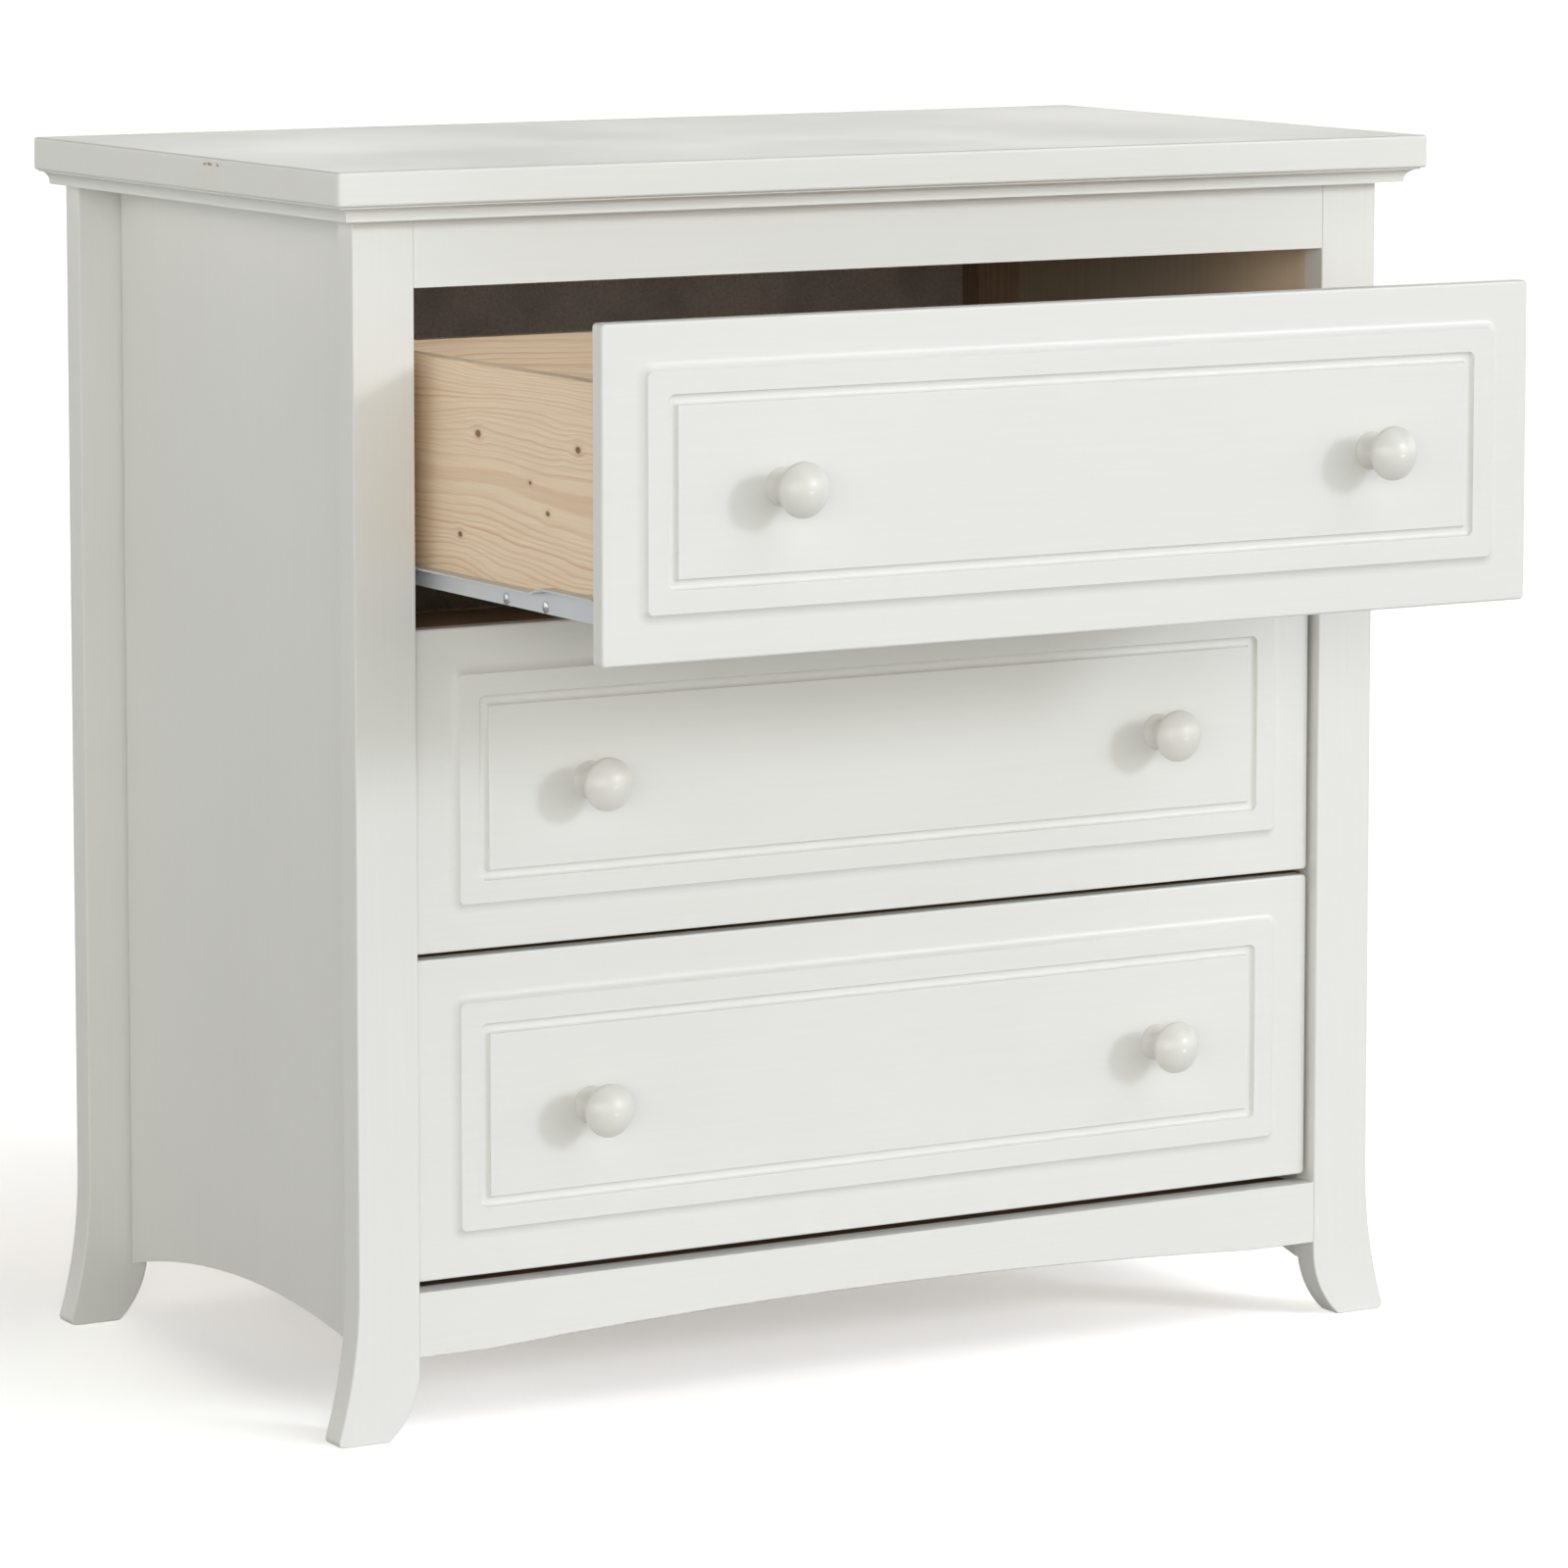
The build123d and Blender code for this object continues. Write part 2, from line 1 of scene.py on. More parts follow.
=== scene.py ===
import bpy
import math
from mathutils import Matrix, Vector


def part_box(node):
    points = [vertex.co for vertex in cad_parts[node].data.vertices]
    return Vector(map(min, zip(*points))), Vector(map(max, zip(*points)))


# Looks for the painted three-drawer dresser.  Every shape comes from the packed
# frame; this script gives each node its material and sets the floor, light and camera.

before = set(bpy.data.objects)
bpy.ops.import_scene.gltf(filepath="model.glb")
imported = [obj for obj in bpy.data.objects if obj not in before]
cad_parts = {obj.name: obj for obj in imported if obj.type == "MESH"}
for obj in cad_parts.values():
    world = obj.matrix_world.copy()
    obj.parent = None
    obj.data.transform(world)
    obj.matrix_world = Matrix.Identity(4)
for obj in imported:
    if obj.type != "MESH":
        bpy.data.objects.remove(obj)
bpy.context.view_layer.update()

MM = 0.001


# ---------------------------------------------------------------------------
# A small helper that builds node materials
# ---------------------------------------------------------------------------

class Shader:
    """One node material, built from sockets and plain numbers."""

    def __init__(self, name, roughness, metallic=0.0, coat=0.0, specular=0.5):
        self.material = bpy.data.materials.new(name)
        self.material.use_nodes = True
        self.nodes = self.material.node_tree.nodes
        self.links = self.material.node_tree.links
        self.bsdf = self.nodes["Principled BSDF"]
        self.bsdf.inputs["Roughness"].default_value = roughness
        self.bsdf.inputs["Metallic"].default_value = metallic
        self.bsdf.inputs["Coat Weight"].default_value = coat
        self.bsdf.inputs["Coat Roughness"].default_value = 0.25
        self.bsdf.inputs["Specular IOR Level"].default_value = specular
        place = self.nodes.new("ShaderNodeTexCoord")
        self.place = place.outputs["Object"]
        split = self.nodes.new("ShaderNodeSeparateXYZ")
        self.links.new(self.place, split.inputs[0])
        self.x, self.y, self.z = split.outputs

    def plug(self, socket, value):
        """Link a socket, or set a plain value."""
        if isinstance(value, bpy.types.NodeSocket):
            self.links.new(value, socket)
        else:
            socket.default_value = value

    def math(self, operation, a, b=0.0):
        """One step of arithmetic on sockets or numbers."""
        node = self.nodes.new("ShaderNodeMath")
        node.operation = operation
        self.plug(node.inputs[0], a)
        self.plug(node.inputs[1], b)
        return node.outputs[0]

    def product(self, a, b):
        return self.math("MULTIPLY", a, b)

    def distance(self, a, b):
        """How far apart two values are."""
        return self.math("ABSOLUTE", self.math("SUBTRACT", a, b))

    def stretch(self, scale):
        """Object coordinates in metres, scaled along each axis."""
        node = self.nodes.new("ShaderNodeMapping")
        self.plug(node.inputs["Vector"], self.place)
        node.inputs["Scale"].default_value = scale
        return node.outputs[0]

    def noise(self, vector, detail=3.0, roughness=0.5):
        """Soft noise of 0..1 with features about one unit of the vector wide."""
        node = self.nodes.new("ShaderNodeTexNoise")
        self.plug(node.inputs["Vector"], vector)
        node.inputs["Scale"].default_value = 1.0
        node.inputs["Detail"].default_value = detail
        node.inputs["Roughness"].default_value = roughness
        return node.outputs["Fac"]

    def cells(self, vector):
        """Distance to the nearest of a scatter of points."""
        node = self.nodes.new("ShaderNodeTexVoronoi")
        self.plug(node.inputs["Vector"], vector)
        node.inputs["Scale"].default_value = 1.0
        return node.outputs["Distance"]

    def vector(self, x, y, z):
        """Three values as one vector."""
        node = self.nodes.new("ShaderNodeCombineXYZ")
        for socket, value in zip(node.inputs, (x, y, z)):
            self.plug(socket, value)
        return node.outputs[0]

    def ramp(self, value, stops):
        """Colour ramp.  Each stop is a position and a colour."""
        node = self.nodes.new("ShaderNodeValToRGB")
        elements = node.color_ramp.elements
        while len(elements) < len(stops):
            elements.new(0.5)
        for element, (position, colour) in zip(elements, stops):
            element.position = position
            element.color = (*colour, 1.0)
        self.plug(node.inputs[0], value)
        return node.outputs[0]

    def span(self, value, low, high, to_low=0.0, to_high=1.0):
        """Map a value from low..high to to_low..to_high, clamped."""
        node = self.nodes.new("ShaderNodeMapRange")
        for socket, number in zip(node.inputs, (value, low, high, to_low, to_high)):
            self.plug(socket, number)
        return node.outputs[0]

    def mix(self, amount, first, second):
        """Blend two colours."""
        node = self.nodes.new("ShaderNodeMix")
        node.data_type = "RGBA"
        self.plug(node.inputs["Factor"], amount)
        for socket, value in ((node.inputs[6], first), (node.inputs[7], second)):
            self.plug(socket, value if isinstance(value, bpy.types.NodeSocket) else (*value, 1.0))
        return node.outputs[2]

    def bump(self, height, depth, strength=1.0, under=None):
        """Bump from a height of 0..1 that stands depth metres high."""
        node = self.nodes.new("ShaderNodeBump")
        node.inputs["Distance"].default_value = depth
        node.inputs["Strength"].default_value = strength
        self.plug(node.inputs["Height"], height)
        if under is not None:
            self.plug(node.inputs["Normal"], under)
        return node.outputs[0]

    def finish(self, colour, normal=None, roughness=None):
        """Plug the last values into the surface and hand over the material."""
        self.plug(self.bsdf.inputs["Base Color"], colour)
        if normal is not None:
            self.plug(self.bsdf.inputs["Normal"], normal)
        if roughness is not None:
            self.plug(self.bsdf.inputs["Roughness"], roughness)
        return self.material


# ---------------------------------------------------------------------------
# Wood
# ---------------------------------------------------------------------------

AXES = "xyz"

# Tones are the early wood, the late wood and the knots.
PINE_TONES = ((0.96, 0.80, 0.60), (0.72, 0.46, 0.27), (0.36, 0.17, 0.075))
TIMBER_TONES = ((0.46, 0.32, 0.20), (0.32, 0.20, 0.12), (0.10, 0.06, 0.04))
DARK_TIMBER_TONES = ((0.27, 0.17, 0.10), (0.19, 0.11, 0.065), (0.08, 0.05, 0.03))
PLY_TONES = ((0.60, 0.54, 0.46), (0.50, 0.44, 0.36), (0.2, 0.1, 0.05))
BARE_SIDE_TONES = ((0.80, 0.66, 0.51), (0.70, 0.56, 0.42), (0.1, 0.06, 0.03))

PINE_RING = 3.4 * MM
BACK_RING = 6.0 * MM
PLY_RING = 9.0 * MM
PINE_ROUGHNESS = 0.42
TIMBER_ROUGHNESS = 0.6
WOOD_SPECULAR = 0.25

# How far the grain wanders in wide sweeps and in small ripples, and how unevenly rings grow.
GRAIN_DRIFT = 0.075
GRAIN_RIPPLE = 0.006
RING_WANDER = 3.2

# A knot's width over its height, and how far the grain bends away from it.
KNOT_STRETCH = 1.5
KNOT_PUSH = 0.85


def along_grain(shader, axis, fine, slow):
    """Coordinates that run slow along one axis and fine across the others."""
    return shader.stretch(tuple(slow if letter == axis else fine for letter in AXES))


def flow_round_knots(shader, u, v, bent, ripple, knots):
    """Bend the grain round each knot; gives the grain, the knots' cores and their halos."""
    core, halo = 0.0, 0.0
    for place_u, place_v, size in knots:
        du = shader.math("DIVIDE", shader.math("SUBTRACT", u, place_u), KNOT_STRETCH * size)
        dv = shader.math("DIVIDE", shader.math("SUBTRACT", v, place_v), size)
        squared = shader.math("ADD", shader.product(du, du), shader.product(dv, dv))
        near = shader.math("EXPONENT", shader.product(squared, -0.16))
        push = shader.product(shader.product(dv, near), -KNOT_PUSH * size)
        bent = shader.math("ADD", bent, push)
        ragged = shader.math("ADD", shader.math("SQRT", squared), shader.product(ripple, 0.5))
        core = shader.math("MAXIMUM", core, shader.span(ragged, 1.35, 0.85))
        glow = shader.math("EXPONENT", shader.product(squared, -0.45))
        halo = shader.math("MAXIMUM", halo, glow)
    return bent, core, halo


def wood_colour(shader, axis, across, depth, tones, ring=4.2 * MM, heart=(0.05, 0.03), knots=(), seed=0.0):
    """Colour and height of sawn softwood.

    axis is the letter of the grain's direction, across and depth the two others.
    tones are the early wood, late wood and knot colours.  Each knot is its place along
    the grain, its place across it, and its half height; the grain flows round it.
    """
    coordinate = {"x": shader.x, "y": shader.y, "z": shader.z}
    u, v, w = coordinate[axis], coordinate[across], coordinate[depth]
    early, late, knot_tone = tones
    sweep = shader.vector(shader.product(u, 2.6), shader.product(v, 9.0), seed)
    drift = shader.math("SUBTRACT", shader.noise(sweep, detail=2.0), 0.5)
    ripple = shader.noise(shader.vector(shader.product(u, 14.0), shader.product(v, 34.0), seed + 5.0))
    bent = shader.math("ADD", v, shader.product(drift, GRAIN_DRIFT))
    shiver = shader.product(shader.math("SUBTRACT", ripple, 0.5), GRAIN_RIPPLE)
    bent = shader.math("ADD", bent, shiver)
    bent, core, halo = flow_round_knots(shader, u, v, bent, ripple, knots)
    off_heart = (shader.math("ADD", bent, heart[0]), shader.math("ADD", w, heart[1]))
    squares = [shader.math("POWER", offset, 2.0) for offset in off_heart]
    radius = shader.math("SQRT", shader.math("ADD", *squares))
    growth = shader.noise(shader.vector(shader.product(radius, 60.0), seed, 0.0), detail=2.0)
    grown = shader.math("ADD", shader.math("DIVIDE", radius, ring), shader.product(growth, RING_WANDER))
    rings = shader.math("FRACT", grown)
    lateness = ((0.0, 0.04), (0.5, 0.12), (0.86, 0.95), (0.94, 0.8), (1.0, 0.04))
    band = shader.ramp(rings, [(place, (grey,) * 3) for place, grey in lateness])
    season = shader.noise(shader.vector(shader.product(grown, 0.9), seed + 2.0, 0.0), detail=0.0)
    band = shader.product(band, shader.span(season, 0.3, 0.65, 0.4, 1.0))
    fibre = shader.noise(along_grain(shader, axis, 900.0, 16.0), detail=4.0, roughness=0.6)
    tint = shader.noise(along_grain(shader, axis, 26.0, 3.0), detail=2.0)
    strength = shader.span(tint, 0.3, 0.75, 0.35, 1.0)
    body = shader.mix(shader.product(band, strength), early, late)
    body = shader.mix(shader.span(fibre, 0.35, 0.75, 0.0, 0.35), body, late)
    if knots:
        knot_heart = tuple(0.45 * part for part in knot_tone)
        knot_rings = shader.mix(shader.span(fibre, 0.3, 0.7), knot_tone, knot_heart)
        body = shader.mix(shader.product(halo, 0.3), body, knot_tone)
        body = shader.mix(core, body, knot_rings)
    return body, band, fibre


def make_wood(name, axis, across, depth, tones, roughness=0.5, **grain):
    """A whole board of bare or lacquered softwood."""
    shader = Shader(name, roughness, specular=WOOD_SPECULAR)
    colour, band, fibre = wood_colour(shader, axis, across, depth, tones, **grain)
    ridges = shader.bump(band, 0.05 * MM, 0.5)
    pores = shader.bump(fibre, 0.08 * MM, 0.6, under=ridges)
    gloss = shader.span(fibre, 0.2, 0.8, roughness - 0.06, roughness + 0.1)
    return shader.finish(colour, pores, gloss)


# ---------------------------------------------------------------------------
# Paint
# ---------------------------------------------------------------------------

PAINT = (0.810, 0.812, 0.785)
PAINT_SHADE = (0.785, 0.787, 0.757)
# The knobs' paint is darker and warmer than PAINT: painted shade for the shade the knobs sit in.
KNOB_PAINT_SHADED = (0.775, 0.765, 0.725)
KNOB_PAINT_SHADED_DARK = (0.75, 0.74, 0.69)
PAINT_ROUGHNESS = 0.36
PAINT_COAT = 0.12
KNOB_COAT = 0.25
SIDE_COAT = 0.1

# The chips on the top's left-hand end: share of the depth from the front, depth below
# the top face, and the half lengths where they thin out and are densest.
CHIPS_BACK = 0.40
CHIPS_DOWN = 4.5 * MM
CHIPS_REACH = (24.0 * MM, 12.0 * MM)
CHIP_BROWN = (0.42, 0.27, 0.16)
CHIP_STAIN = (0.72, 0.60, 0.42)

# The inner faces of the side panels are painted up to this height and bare above it.
BARE_ABOVE = 0.10


def paint_surface(shader, axis, light=PAINT, dark=PAINT_SHADE):
    """Colour, normal and roughness of satin paint over wood with its grain along one axis."""
    clouds = shader.noise(shader.stretch((5.0, 5.0, 5.0)), detail=3.0)
    telegraph = shader.noise(along_grain(shader, axis, 420.0, 9.0), detail=4.0, roughness=0.62)
    brush = shader.noise(along_grain(shader, axis, 1500.0, 60.0), detail=2.0)
    peel = shader.noise(shader.stretch((650.0, 650.0, 650.0)), detail=1.0)
    tone = shader.math("ADD", shader.product(clouds, 0.6), shader.product(telegraph, 0.4))
    colour = shader.mix(shader.span(tone, 0.36, 0.64), light, dark)
    normal = shader.bump(telegraph, 0.05 * MM, 0.35)
    normal = shader.bump(peel, 0.02 * MM, 0.35, under=normal)
    normal = shader.bump(brush, 0.012 * MM, 0.4, under=normal)
    roughness = shader.span(tone, 0.3, 0.7, PAINT_ROUGHNESS - 0.05, PAINT_ROUGHNESS + 0.09)
    return colour, normal, roughness


def make_paint(name, axis):
    """Satin paint all over a board."""
    shader = Shader(name, PAINT_ROUGHNESS, coat=PAINT_COAT)
    return shader.finish(*paint_surface(shader, axis))


def make_shaded_knob_paint(name, axis):
    """The same satin paint, made darker and warmer on the turned knobs as painted shade."""
    shader = Shader(name, PAINT_ROUGHNESS, coat=KNOB_COAT)
    return shader.finish(*paint_surface(shader, axis, KNOB_PAINT_SHADED, KNOB_PAINT_SHADED_DARK))


def make_chipped_paint(name, axis, node):
    """Paint with a small cluster of chips down to brown on the left-hand end of a board."""
    shader = Shader(name, PAINT_ROUGHNESS, coat=PAINT_COAT)
    colour, normal, roughness = paint_surface(shader, axis)
    low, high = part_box(node)
    centre_y = low.y + CHIPS_BACK * (high.y - low.y)
    end = shader.span(shader.x, low.x + 2.0 * MM, low.x + 1.0 * MM)
    along = shader.span(shader.distance(shader.y, centre_y), *CHIPS_REACH)
    on_end = shader.product(end, along)
    height = shader.distance(shader.z, high.z - CHIPS_DOWN)
    patch = shader.product(on_end, shader.span(height, 2.2 * MM, 0.8 * MM))
    flecks = shader.noise(shader.stretch((300.0, 150.0, 320.0)), detail=3.0, roughness=0.7)
    chips = shader.span(shader.product(patch, flecks), 0.50, 0.56)
    stain = shader.product(on_end, shader.span(flecks, 0.35, 0.75, 0.0, 0.16))
    colour = shader.mix(stain, colour, CHIP_STAIN)
    colour = shader.mix(chips, colour, CHIP_BROWN)
    return shader.finish(colour, shader.bump(chips, -0.15 * MM, 1.0, under=normal), roughness)


def make_side_paint(name, inner_x):
    """Side panel: painted outside, bare tan board on most of its inner face."""
    shader = Shader(name, PAINT_ROUGHNESS, coat=SIDE_COAT)
    colour, normal, _ = paint_surface(shader, "z")
    bare, _, _ = wood_colour(shader, "z", "y", "x", BARE_SIDE_TONES)
    inside = shader.span(shader.math("ABSOLUTE", shader.x), inner_x + 1.0 * MM, inner_x + 0.5 * MM)
    inside = shader.product(inside, shader.span(shader.z, BARE_ABOVE, BARE_ABOVE + 5 * MM))
    roughness = shader.span(inside, 0.0, 1.0, PAINT_ROUGHNESS, TIMBER_ROUGHNESS)
    return shader.finish(shader.mix(inside, colour, bare), normal, roughness)


# ---------------------------------------------------------------------------
# Board, steel and plastic
# ---------------------------------------------------------------------------

# Colours from the darkest fibres to the palest, with their places in the noise; all are paler than the
# board's own brown, as painted light inside the cabinet.
HARDBOARD_FIBRES_WITH_PAINTED_LIGHT = ((0.30, (0.56, 0.47, 0.41)), (0.52, (0.70, 0.60, 0.53)), (0.72, (0.84, 0.75, 0.68)))
HARDBOARD_FLECK = (0.68, 0.63, 0.59)
HARDBOARD_PATCH = (0.28, 0.24, 0.21)

# Each pair is the lighter and the darker tone of one material.
SLIDE_TONES = ((0.69, 0.72, 0.75), (0.64, 0.67, 0.70))
SLIDE_LINES = (0.76, 0.76, 0.76)
SCREW_TONES = ((0.66, 0.67, 0.68), (0.46, 0.48, 0.50))
NYLON_TONES = ((0.80, 0.80, 0.77), (0.73, 0.73, 0.69))


def make_hardboard_with_painted_light(name):
    """Pressed fibreboard with pale flecks and darker patches, in tones paler than the board's own as
    painted light inside the cabinet.
    """
    shader = Shader(name, 0.55)
    fibres = shader.noise(shader.stretch((420.0, 420.0, 420.0)), detail=4.0, roughness=0.7)
    patches = shader.noise(shader.stretch((16.0, 16.0, 16.0)), detail=2.0)
    flecks = shader.cells(shader.stretch((260.0, 260.0, 260.0)))
    # The fibre tones are the board's grain, lifted paler as painted light.
    colour = shader.ramp(fibres, HARDBOARD_FIBRES_WITH_PAINTED_LIGHT)
    colour = shader.mix(shader.span(flecks, 0.22, 0.12, 0.0, 0.5), colour, HARDBOARD_FLECK)
    colour = shader.mix(shader.span(patches, 0.35, 0.7, 0.0, 0.4), colour, HARDBOARD_PATCH)
    gloss = shader.span(fibres, 0.3, 0.7, 0.45, 0.68)
    return shader.finish(colour, shader.bump(fibres, 0.12 * MM, 0.6), gloss)


def make_slide_steel(name):
    """Zinc-grey rolled steel strip with faint drawing lines along its length."""
    shader = Shader(name, 0.45, metallic=0.35)
    lines = shader.noise(along_grain(shader, "y", 2200.0, 12.0), detail=3.0)
    clouds = shader.noise(shader.stretch((22.0, 22.0, 22.0)), detail=3.0)
    colour = shader.mix(shader.span(clouds, 0.3, 0.7), *SLIDE_TONES)
    colour = shader.mix(shader.span(lines, 0.45, 0.7, 0.0, 0.10), colour, SLIDE_LINES)
    gloss = shader.span(clouds, 0.3, 0.7, 0.34, 0.47)
    return shader.finish(colour, shader.bump(lines, 0.01 * MM, 0.5), gloss)


def make_screw_steel(name):
    """Bright zinc plate, slightly mottled."""
    shader = Shader(name, 0.3, metallic=1.0)
    mottle = shader.noise(shader.stretch((900.0, 900.0, 900.0)), detail=3.0)
    colour = shader.mix(shader.span(mottle, 0.3, 0.7), *SCREW_TONES)
    gloss = shader.span(mottle, 0.3, 0.7, 0.22, 0.4)
    return shader.finish(colour, shader.bump(mottle, 0.02 * MM, 0.4), gloss)


def make_nylon(name):
    """Moulded white nylon."""
    shader = Shader(name, 0.42)
    shader.bsdf.inputs["Subsurface Weight"].default_value = 0.15
    shader.bsdf.inputs["Subsurface Scale"].default_value = 1.5 * MM
    grain = shader.noise(shader.stretch((1400.0, 1400.0, 1400.0)), detail=2.0)
    colour = shader.mix(shader.span(grain, 0.3, 0.7), *NYLON_TONES)
    gloss = shader.span(grain, 0.3, 0.7, 0.36, 0.5)
    return shader.finish(colour, shader.bump(grain, 0.02 * MM, 0.4), gloss)


# ---------------------------------------------------------------------------
# Which node gets which material
# ---------------------------------------------------------------------------

DRAWERS = ("top", "middle", "bottom")

# Knots on the outside of a drawer side: distance behind the front board, height above
# the lower edge of the side, and half height, all in millimetres.
SIDE_KNOTS = (
    (38, 109, 2.9),
    (175, 108, 2.8),
    (103, 82, 1.6),
    (79, 64, 2.0),
    (201, 39, 2.2),
    (290, 88, 3.4),
)

# The middle of the log, above a drawer side's lower edge and beyond its face.
SIDE_HEART_UP = 0.072
SIDE_HEART_DEEP = 0.03


def dress(node, material):
    """Give one CAD node its material."""
    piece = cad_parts[node]
    if not piece.data.materials:
        piece.data.materials.append(material)
    for place in piece.material_slots:
        place.material = material


def side_knots(node, mirrored):
    """Knot places in the frame's metres for one drawer side."""
    low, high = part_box(node)
    length = high.y - low.y
    knots = []
    for back, up, size in SIDE_KNOTS:
        distance = length - back * MM if mirrored else back * MM
        knots.append((low.y + distance, low.z + up * MM, size * MM))
    return knots


def dress_carcass():
    """Painted boards, bare boards, the back panel and the cabinet rails."""
    flat_paint = make_paint("paint_across", "x")
    upright_paint = make_paint("paint_upright", "z")
    depth_paint = make_paint("paint_depth", "y")
    dress("top_panel", make_chipped_paint("paint_top", "x", "top_panel"))
    for node in ("cornice_front", "top_front_rail", "front_apron"):
        dress(node, flat_paint)
    for node in ("cornice_left", "cornice_right"):
        dress(node, depth_paint)
    for end in ("front", "rear"):
        for side in ("left", "right"):
            dress(f"{end}_{side}_leg", upright_paint)
    inner_x = abs(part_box("left_side_panel")[1].x)
    side_paint = make_side_paint("paint_side", inner_x)
    dress("left_side_panel", side_paint)
    dress("right_side_panel", side_paint)

    cross_timber = make_wood("timber_across", "x", "y", "z", DARK_TIMBER_TONES, TIMBER_ROUGHNESS)
    back_timber = make_wood("timber_back", "x", "z", "y", TIMBER_TONES, TIMBER_ROUGHNESS, seed=3.0)
    upright_timber = make_wood("timber_upright", "z", "x", "y", TIMBER_TONES, TIMBER_ROUGHNESS, seed=7.0)
    for node in ("upper_drawer_divider", "lower_drawer_divider", "bottom_stretcher"):
        dress(node, cross_timber)
    for node in ("top_back_rail", "bottom_back_rail"):
        dress(node, back_timber)
    for node in ("rear_left_batten", "rear_right_batten"):
        dress(node, upright_timber)
    dress("back_panel", make_hardboard_with_painted_light("hardboard"))


def dress_drawer_sides(drawer, index):
    """The two pine sides of one drawer; every second drawer has its knots the other way round."""
    for side, mirrored in (("left", False), ("right", True)):
        node = f"{drawer}_drawer_{side}_side"
        heart = (-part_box(node)[0].z - SIDE_HEART_UP, -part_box(node)[0].x + SIDE_HEART_DEEP)
        knots = side_knots(node, mirrored != (index == 1))
        dress(node, make_wood(f"pine_{drawer}_{side}", "y", "z", "x", PINE_TONES, PINE_ROUGHNESS,
                              knots=knots, ring=PINE_RING, heart=heart, seed=2.0 * index + mirrored))


def dress_drawer_back(drawer, index):
    """The pine back of one drawer, with a knot towards each end."""
    prefix = f"{drawer}_drawer_"
    low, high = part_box(prefix + "back")
    knots = [(low.x + 0.21, (low.z + high.z) / 2 + 0.02, 4 * MM), (high.x - 0.16, low.z + 0.045, 3 * MM)]
    dress(prefix + "back", make_wood(f"pine_{drawer}_back", "x", "z", "y", PINE_TONES, PINE_ROUGHNESS,
                                     knots=knots, ring=BACK_RING, heart=(0.02, 0.02), seed=11.0 + index))


def dress_drawers():
    """Fronts, knobs, boxes and slides of the three drawers."""
    front_paint = make_paint("paint_front", "x")
    # The knobs get the darker, warmer paint, which is painted shade.
    shaded_knob_paint = make_shaded_knob_paint("paint_knob_painted_shade", "y")
    steel = make_slide_steel("slide_steel")
    screw = make_screw_steel("screw_steel")
    nylon = make_nylon("nylon")
    plywood = make_wood("plywood", "x", "y", "z", PLY_TONES, ring=PLY_RING, heart=(0.4, 0.02))
    dress("cabinet_rail_screws", screw)
    for index, drawer in enumerate(DRAWERS):
        prefix = f"{drawer}_drawer_"
        dress(prefix + "front", front_paint)
        dress(prefix + "knobs", shaded_knob_paint)
        dress(prefix + "bottom", plywood)
        dress_drawer_sides(drawer, index)
        dress_drawer_back(drawer, index)
        for side in ("left", "right"):
            dress(f"{prefix}{side}_rail", steel)
        for part in ("knob_screws", "rail_screws"):
            dress(prefix + part, screw)
        for part in ("front_rollers", "rear_rollers"):
            dress(f"{drawer}_{part}", nylon)
        dress(f"{drawer}_cabinet_rails", steel)


# ---------------------------------------------------------------------------
# Floor, light and camera
# ---------------------------------------------------------------------------

# The floor bounces light as pale card does, and looks white: FLOOR_WHITE is its exposed
# whiteness and FLOOR_GLOW lifts its shadows.
FLOOR_HALF = 40.0
FLOOR_BOUNCE = ((0.71, 0.71, 0.71), (0.69, 0.69, 0.69))
FLOOR_WHITE = 1.9
FLOOR_GLOW = 0.24

# The walls' glow near the floor and overhead.  The glow fades round HORIZON_TOP, which is
# the upward part of a direction, and the fade reaches HORIZON_FADE to either side of it.
HORIZON_LIGHT = 1.80
ZENITH_LIGHT = 0.02
HORIZON_TOP = 0.35
HORIZON_FADE = 0.1

# Each distant lamp: its name, the direction it shines from, its strength, the angle it
# covers in degrees, and its colour.
WARM_LIGHT = (1.0, 0.99, 0.95)
COOL_LIGHT = (0.87, 0.92, 1.0)
SUNS = (
    ("key", (0.64, -0.76, 0.29), 0.71, 9.5, COOL_LIGHT),
    ("overhead", (0.45, -0.45, 1.0), 0.50, 50.0, WARM_LIGHT),
    ("high", (0.5, -0.8, 0.7), 0.28, 40.0, COOL_LIGHT),
    ("front_fill", (-0.50, -0.85, 0.14), 0.59, 30.0, WARM_LIGHT),
)

CAMERA_AZIMUTH = -30.319
CAMERA_ELEVATION = 6.569
CAMERA_LENS = 162.32
CAMERA_SENSOR = 36.0
CAMERA_SHIFT = -0.15
CAMERA_REACH = 100.0
# The camera's place in metres; its depth is counted from the front of the left leg.
CAMERA_FROM_LEG = (-2.515, -4.1624, 1.1443)


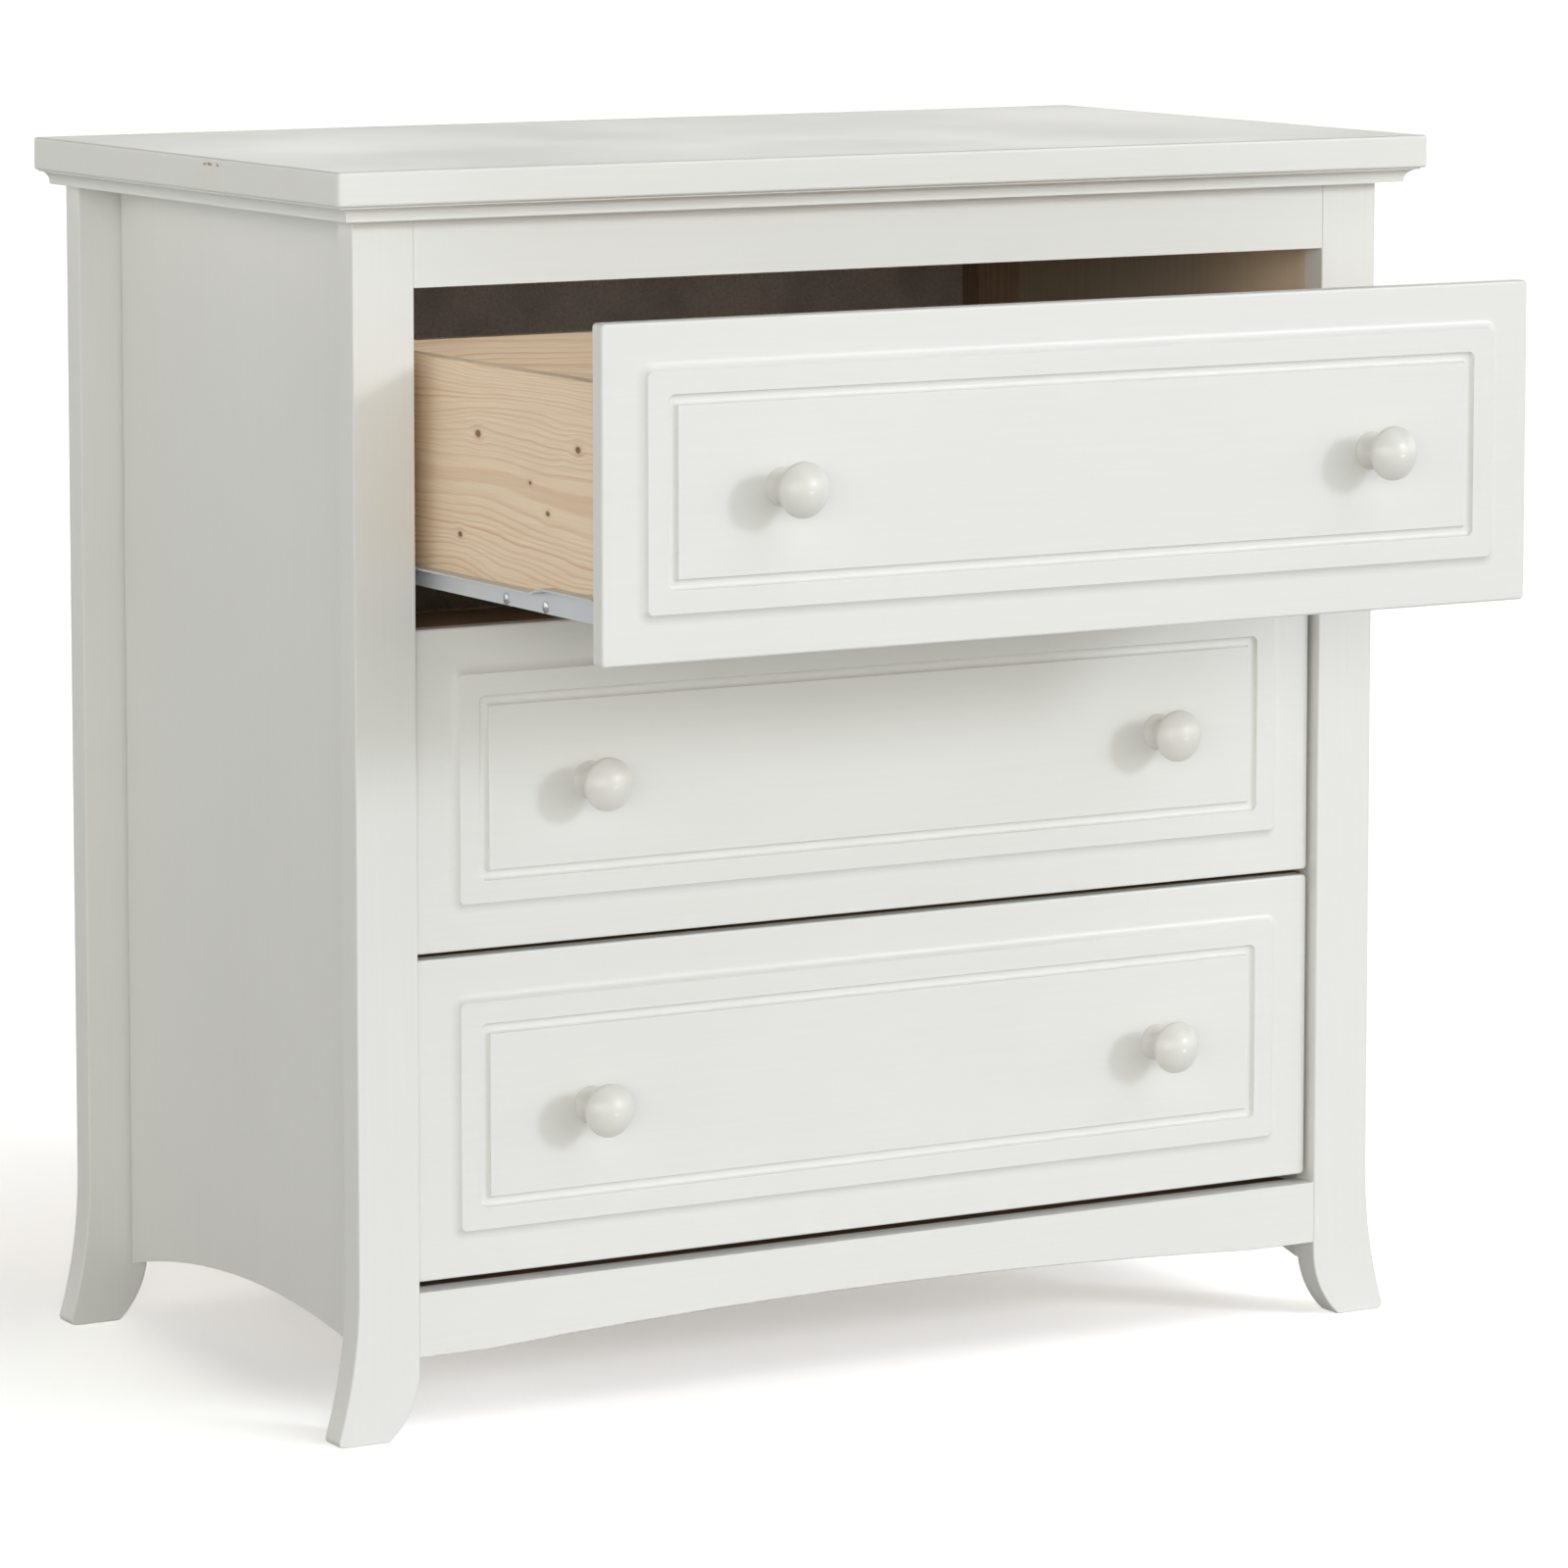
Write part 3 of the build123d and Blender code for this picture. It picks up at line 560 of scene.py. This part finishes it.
def make_floor():
    """A plain pale studio floor, exposed until it reads as white paper."""
    mesh = bpy.data.meshes.new("studio_floor")
    corners = [(-FLOOR_HALF, -FLOOR_HALF, 0), (FLOOR_HALF, -FLOOR_HALF, 0),
               (FLOOR_HALF, FLOOR_HALF, 0), (-FLOOR_HALF, FLOOR_HALF, 0)]
    mesh.from_pydata(corners, [], [(0, 1, 2, 3)])
    floor = bpy.data.objects.new("studio_floor", mesh)
    bpy.context.scene.collection.objects.link(floor)
    shader = Shader("studio_floor", 0.7, specular=0.2)
    grain = shader.noise(shader.stretch((3.0, 3.0, 3.0)))
    mesh.materials.append(shader.finish(shader.mix(grain, *FLOOR_BOUNCE)))
    paper = shader.nodes.new("ShaderNodeBsdfDiffuse")
    paper.inputs["Color"].default_value = (FLOOR_WHITE, FLOOR_WHITE, FLOOR_WHITE, 1.0)
    glow = shader.nodes.new("ShaderNodeEmission")
    glow.inputs["Strength"].default_value = FLOOR_GLOW
    seen = shader.nodes.new("ShaderNodeAddShader")
    shader.links.new(paper.outputs[0], seen.inputs[0])
    shader.links.new(glow.outputs[0], seen.inputs[1])
    path = shader.nodes.new("ShaderNodeLightPath")
    choose = shader.nodes.new("ShaderNodeMixShader")
    shader.links.new(path.outputs["Is Camera Ray"], choose.inputs[0])
    shader.links.new(shader.bsdf.outputs[0], choose.inputs[1])
    shader.links.new(seen.outputs[0], choose.inputs[2])
    shader.links.new(choose.outputs[0], shader.nodes["Material Output"].inputs["Surface"])


def make_world():
    """Studio walls that glow up to a low height, with a white backdrop behind the object."""
    world = bpy.data.worlds.new("studio")
    bpy.context.scene.world = world
    world.use_nodes = True
    nodes, links = world.node_tree.nodes, world.node_tree.links
    backdrop = nodes["Background"]
    backdrop.inputs["Color"].default_value = (1.0, 1.0, 1.0, 1.0)
    walls = nodes.new("ShaderNodeBackground")
    walls.inputs["Color"].default_value = (*WARM_LIGHT, 1.0)
    direction = nodes.new("ShaderNodeTexCoord")
    split = nodes.new("ShaderNodeSeparateXYZ")
    links.new(direction.outputs["Generated"], split.inputs[0])
    fade = nodes.new("ShaderNodeMapRange")
    fade.interpolation_type = "SMOOTHSTEP"
    links.new(split.outputs["Z"], fade.inputs["Value"])
    for name, value in (("From Min", HORIZON_TOP - HORIZON_FADE), ("From Max", HORIZON_TOP + HORIZON_FADE),
                        ("To Min", HORIZON_LIGHT), ("To Max", ZENITH_LIGHT)):
        fade.inputs[name].default_value = value
    links.new(fade.outputs[0], walls.inputs["Strength"])
    path = nodes.new("ShaderNodeLightPath")
    choose = nodes.new("ShaderNodeMixShader")
    links.new(path.outputs["Is Camera Ray"], choose.inputs[0])
    links.new(walls.outputs[0], choose.inputs[1])
    links.new(backdrop.outputs[0], choose.inputs[2])
    links.new(choose.outputs[0], nodes["World Output"].inputs["Surface"])


def make_sun(name, direction, strength, angle, colour):
    """A distant soft light, the same strength all over."""
    data = bpy.data.lights.new(name, "SUN")
    data.energy = strength
    data.color = colour
    data.angle = math.radians(angle)
    lamp = bpy.data.objects.new(name, data)
    lamp.rotation_mode = "QUATERNION"
    lamp.rotation_quaternion = (-Vector(direction)).to_track_quat("-Z", "Y")
    bpy.context.scene.collection.objects.link(lamp)


def make_camera():
    """The camera at the photograph's viewing angle."""
    data = bpy.data.cameras.new("camera")
    data.lens = CAMERA_LENS
    data.sensor_width = CAMERA_SENSOR
    data.shift_y = CAMERA_SHIFT
    data.clip_end = CAMERA_REACH
    camera = bpy.data.objects.new("camera", data)
    leg_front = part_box("front_left_leg")[0].y
    camera.location = Vector(CAMERA_FROM_LEG) + Vector((0.0, leg_front, 0.0))
    azimuth, elevation = math.radians(CAMERA_AZIMUTH), math.radians(CAMERA_ELEVATION)
    forward = Vector((-math.sin(azimuth) * math.cos(elevation), math.cos(azimuth) * math.cos(elevation),
                      -math.sin(elevation)))
    camera.rotation_mode = "QUATERNION"
    camera.rotation_quaternion = forward.to_track_quat("-Z", "Y")
    bpy.context.scene.collection.objects.link(camera)
    bpy.context.scene.camera = camera


dress_carcass()
dress_drawers()
make_floor()
make_world()
for sun in SUNS:
    make_sun(*sun)
make_camera()
bpy.context.scene.view_settings.view_transform = "Standard"
